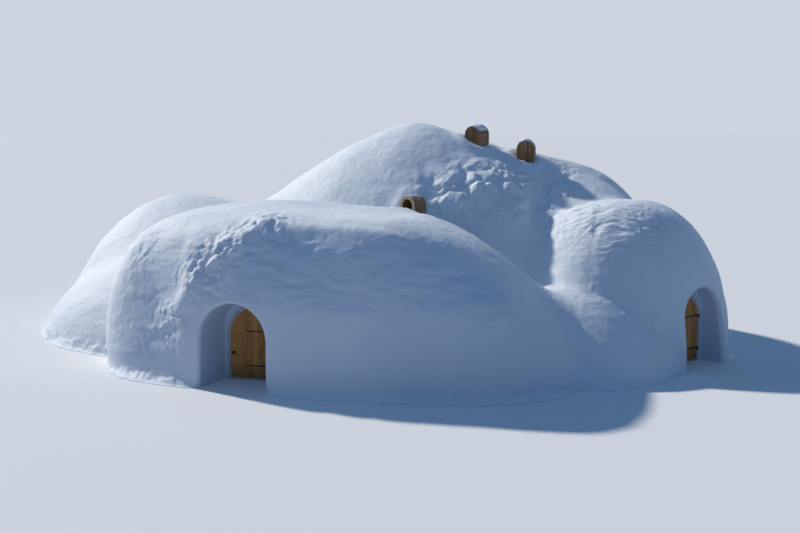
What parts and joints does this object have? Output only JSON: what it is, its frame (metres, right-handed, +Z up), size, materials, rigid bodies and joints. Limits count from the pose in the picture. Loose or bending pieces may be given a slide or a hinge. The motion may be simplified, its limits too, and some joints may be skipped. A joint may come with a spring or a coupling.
{
  "type": "snow igloo",
  "caption": "Large igloo of merged snow domes with rooms inside, arched porches, pointed board doors on strap hinges and timber air vents.",
  "frame": {"origin": "centre of the footprint's box, on the ground", "axes": "+X to the right along the house, +Y from front to back, +Z up"},
  "size_m": [20.476, 13.5998, 6.2036],
  "materials": {
    "packed_snow": "matt wind-packed snow",
    "frame_timber": "weathered grey timber",
    "door_boards": "oiled vertical boards",
    "vent_boards": "weathered brown boards",
    "black_iron": "forged black"
  },
  "bodies": {
    "snow_house": {"left_dome_front": "packed_snow", "left_dome_roof": "packed_snow", "left_dome_back": "packed_snow", "front_wall_left": "packed_snow", "left_valley": "packed_snow", "back_wall_left": "packed_snow", "front_doorway": "packed_snow", "roof_over_door": "packed_snow", "back_wall_middle_left": "packed_snow", "front_wall_right": "packed_snow", "roof_high": "packed_snow", "back_wall_middle_right": "packed_snow", "front_dome_right_end": "packed_snow", "roof_right_shoulder": "packed_snow", "back_dome_wall": "packed_snow", "right_dome_front": "packed_snow", "right_dome_roof": "packed_snow", "right_dome_back": "packed_snow", "side_doorway": "packed_snow", "side_wall_back": "packed_snow", "front_door_frame": "frame_timber", "front_door_sill": "frame_timber", "front_door_pintles": "black_iron", "side_door_frame": "frame_timber", "side_door_sill": "frame_timber", "side_door_pintles": "black_iron", "front_vent_hood": "vent_boards", "front_vent_mouth": "vent_boards", "crest_vent_hood": "vent_boards", "crest_vent_mouth": "vent_boards", "saddle_vent_hood": "vent_boards", "saddle_vent_mouth": "vent_boards"},
    "front_door": {"front_door_boards": "door_boards", "front_door_ledges": "door_boards", "front_door_straps": "black_iron", "front_door_knob": "black_iron"},
    "side_door": {"side_door_boards": "door_boards", "side_door_ledges": "door_boards", "side_door_straps": "black_iron", "side_door_knob": "black_iron"}
  },
  "joints": [
    {"name": "front_door_hinge", "type": "hinge", "parent": "snow_house", "child": "front_door", "pos_m": [-0.776, -5.515, 0], "axis": [0, 0, 1], "range_deg": [0, 90]},
    {"name": "side_door_hinge", "type": "hinge", "parent": "snow_house", "child": "side_door", "pos_m": [9.45498, -0.22032, 0], "axis": [0, 0, 1], "range_deg": [0, 90]}
  ]
}
